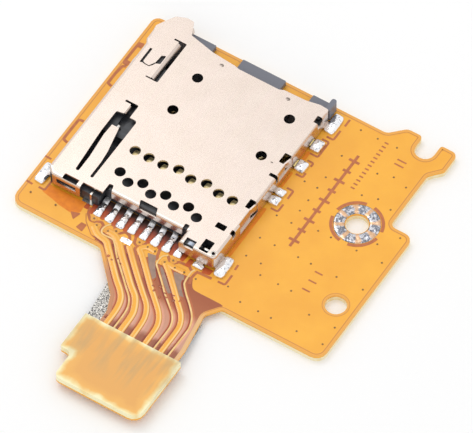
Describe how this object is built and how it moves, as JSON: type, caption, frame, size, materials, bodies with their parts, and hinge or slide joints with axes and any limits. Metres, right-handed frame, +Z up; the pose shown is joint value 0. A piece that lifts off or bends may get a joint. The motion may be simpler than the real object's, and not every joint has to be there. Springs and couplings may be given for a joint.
{
  "type": "sd card socket",
  "caption": "Push-push memory card socket with a stamped metal cover, on a flexible circuit board whose short tail ends in a stiffened board-to-board plug.",
  "frame": {"origin": "centre of the part's bounding box at its base, the level of the board's underside and of the plug's mating face", "axes": "+Y towards the card entry and along the longest side, +Z up from the board's component side, +X across the contacts"},
  "size_m": [0.0244, 0.0298, 0.0019],
  "materials": {
    "polyimide": "amber polyimide film over copper",
    "laminate": "cream stiffener laminate",
    "conductive_cloth": "silvery conductive cloth",
    "solder_tin": "bright reflowed solder",
    "gold_plate": "gold plated spring alloy",
    "black_moulding": "moulded liquid crystal polymer",
    "ivory_moulding": "moulded liquid crystal polymer",
    "stainless": "stamped stainless steel"
  },
  "bodies": {
    "board": {"board_stiffener": "laminate", "contact_1": "gold_plate", "contact_2": "gold_plate", "contact_3": "gold_plate", "contact_4": "gold_plate", "contact_5": "gold_plate", "contact_6": "gold_plate", "contact_7": "gold_plate", "contact_8": "gold_plate", "eject_spring": "stainless", "flex_circuit": "polyimide", "ground_cloth": "conductive_cloth", "ground_tab": "gold_plate", "plug_body": "ivory_moulding", "plug_contact_1": "gold_plate", "plug_contact_10": "gold_plate", "plug_contact_2": "gold_plate", "plug_contact_3": "gold_plate", "plug_contact_4": "gold_plate", "plug_contact_5": "gold_plate", "plug_contact_6": "gold_plate", "plug_contact_7": "gold_plate", "plug_contact_8": "gold_plate", "plug_contact_9": "gold_plate", "screw_land": "solder_tin", "shell": "stainless", "socket_housing": "black_moulding", "solder_back_left": "solder_tin", "solder_back_right": "solder_tin", "solder_blade": "solder_tin", "solder_fixed": "solder_tin", "solder_front": "solder_tin", "solder_front_left": "solder_tin", "solder_front_right": "solder_tin", "solder_middle_right": "solder_tin", "solder_second_right": "solder_tin", "solder_tail_1": "solder_tin", "solder_tail_2": "solder_tin", "solder_tail_3": "solder_tin", "solder_tail_4": "solder_tin", "solder_tail_5": "solder_tin", "solder_tail_6": "solder_tin", "solder_tail_7": "solder_tin", "solder_tail_8": "solder_tin", "switch_blade": "gold_plate", "switch_fixed": "gold_plate", "tail_stiffener": "laminate"},
    "slider": {"slider": "black_moulding"},
    "follower": {"cam_pin": "stainless"}
  },
  "joints": [
    {"name": "slider_travel", "type": "slide", "parent": "board", "child": "slider", "axis": [0, -1, 0], "range_m": [0, 0.004], "stiffness_N_per_m": 120, "deforming": ["eject_spring"]},
    {"name": "cam_pin_swing", "type": "hinge", "parent": "board", "child": "follower", "pos_m": [-0.00863, -0.00111, 0.00161], "axis": [0, 0, 1], "range_deg": [0, 4.5]}
  ],
  "couplings": [
    {"joint": "cam_pin_swing", "follows": "slider_travel", "rad_per_m": 19.25}
  ]
}
